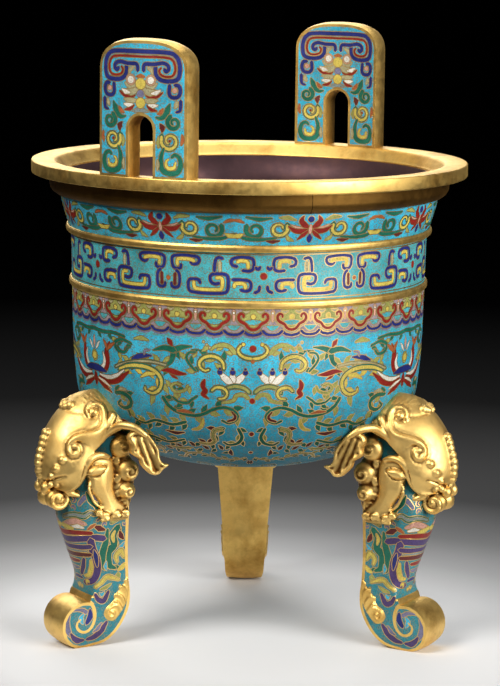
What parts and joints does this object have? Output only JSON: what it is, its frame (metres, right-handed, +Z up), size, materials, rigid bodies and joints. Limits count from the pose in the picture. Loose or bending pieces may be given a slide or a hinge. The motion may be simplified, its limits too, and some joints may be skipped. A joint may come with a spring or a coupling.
{
  "type": "incense burner",
  "caption": "Cloisonne incense burner: hollow enamelled bowl with a flared gilt rim, upright loop handles, gilt mouldings and scroll-footed legs that leave gilt beast masks.",
  "frame": {"origin": "middle of the bounding box on the floor the feet stand on; the vessel axis is 9.1 mm from it along +Y, because one mask reaches past the rim on the -Y side", "axes": "+Z up; the handles stand on the X axis, turned 1.8 degrees anticlockwise seen from above as in the picture; one leg points to -Y, the others lie 120 degrees on either side"},
  "size_m": [0.35, 0.3682, 0.4837],
  "materials": {
    "enamel": "glossy turquoise cloisonne enamel on copper, with gilt wires",
    "gilt": "worn mercury gilding on cast bronze, satin"
  },
  "bodies": {
    "root": {"vessel_body": "enamel", "neck_collar": "gilt", "rim_ring": "gilt", "upper_moulding": "gilt", "lower_moulding": "gilt", "handle_left": "gilt", "handle_right": "gilt", "leg_front": "enamel", "leg_right": "enamel", "leg_left": "enamel", "mask_front": "gilt", "mask_right": "gilt", "mask_left": "gilt"}
  },
  "joints": []
}
